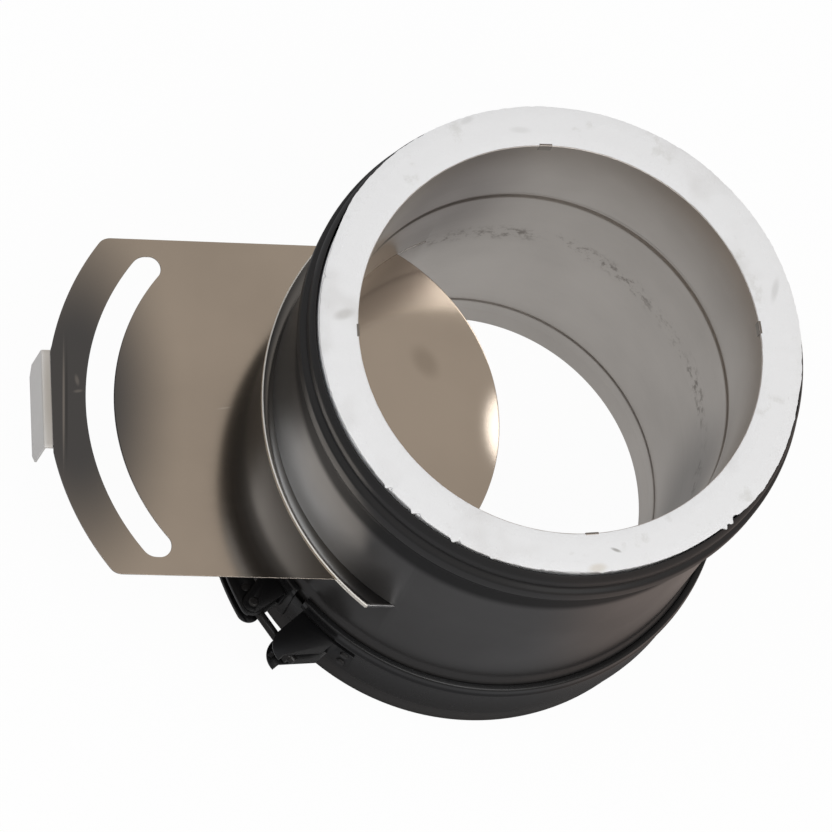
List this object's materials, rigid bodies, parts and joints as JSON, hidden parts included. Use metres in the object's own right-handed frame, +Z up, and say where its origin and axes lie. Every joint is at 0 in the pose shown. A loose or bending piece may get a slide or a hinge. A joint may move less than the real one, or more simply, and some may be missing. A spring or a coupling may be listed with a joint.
{
  "type": "chimney damper",
  "caption": "Short insulated double-wall flue section with a steel damper plate sliding in a slot across it and a locking band with an over-centre latch.",
  "frame": {"origin": "on the flue's axis, in the plane of the casing's bottom rim", "axes": "+Z up the flue's axis, -Y the way the damper plate pulls out, +X to the right of someone who stands on the -Y side facing the flue"},
  "size_m": [0.3164, 0.4534, 0.2754],
  "materials": {
    "casing_black": "satin black paint on rolled steel",
    "white_fibre": "pressed white ceramic fibre, cut faces",
    "liner_steel": "satin stainless steel, slightly scuffed",
    "cassette_steel": "mill finish stainless steel with bright cut edges",
    "plate_steel": "bright polished stainless steel",
    "handle_steel": "satin stainless steel",
    "band_black": "satin black paint",
    "latch_black": "gloss black paint",
    "fastener_black": "black zinc plating with bright worn corners"
  },
  "bodies": {
    "pipe": {"outer_shell": "casing_black", "upper_insulation": "white_fibre", "lower_insulation": "white_fibre", "inner_liner": "liner_steel", "rim_clips": "liner_steel", "cassette_upper_sheet": "cassette_steel", "cassette_lower_sheet": "cassette_steel", "cassette_left_spacer": "cassette_steel", "cassette_right_spacer": "cassette_steel", "locking_band": "band_black", "band_tongue": "band_black", "lever_bracket": "latch_black", "saddle_bracket": "latch_black", "lever_rivets": "fastener_black", "bracket_rivets": "fastener_black"},
    "damper": {"damper_plate": "plate_steel", "pull_handle": "handle_steel"},
    "lever": {"latch_lever": "latch_black"},
    "bolt": {"swivel_barrel": "fastener_black", "tension_bolt": "fastener_black"},
    "nut": {"lock_nut": "fastener_black", "nut_washer": "fastener_black"}
  },
  "joints": [
    {"name": "plate_slide", "type": "slide", "parent": "pipe", "child": "damper", "axis": [0, 1, 0], "range_m": [-0.117, 0.1238]},
    {"name": "lever_open", "type": "hinge", "parent": "pipe", "child": "lever", "pos_m": [0.09686, -0.14918, 0.045], "axis": [0, 0, 1], "range_deg": [0, 120]},
    {"name": "bolt_swing", "type": "hinge", "parent": "lever", "child": "bolt", "pos_m": [0.08643, -0.15335, 0.045], "axis": [0, 0, 1], "range_deg": [-144, 0]},
    {"name": "nut_turn", "type": "hinge", "parent": "bolt", "child": "nut", "pos_m": [0.12715, -0.12629, 0.045], "axis": [0.8329, 0.5534, 0], "continuous": true}
  ],
  "couplings": [
    {"joint": "bolt_swing", "follows": "lever_open", "ratio": -1.2}
  ]
}
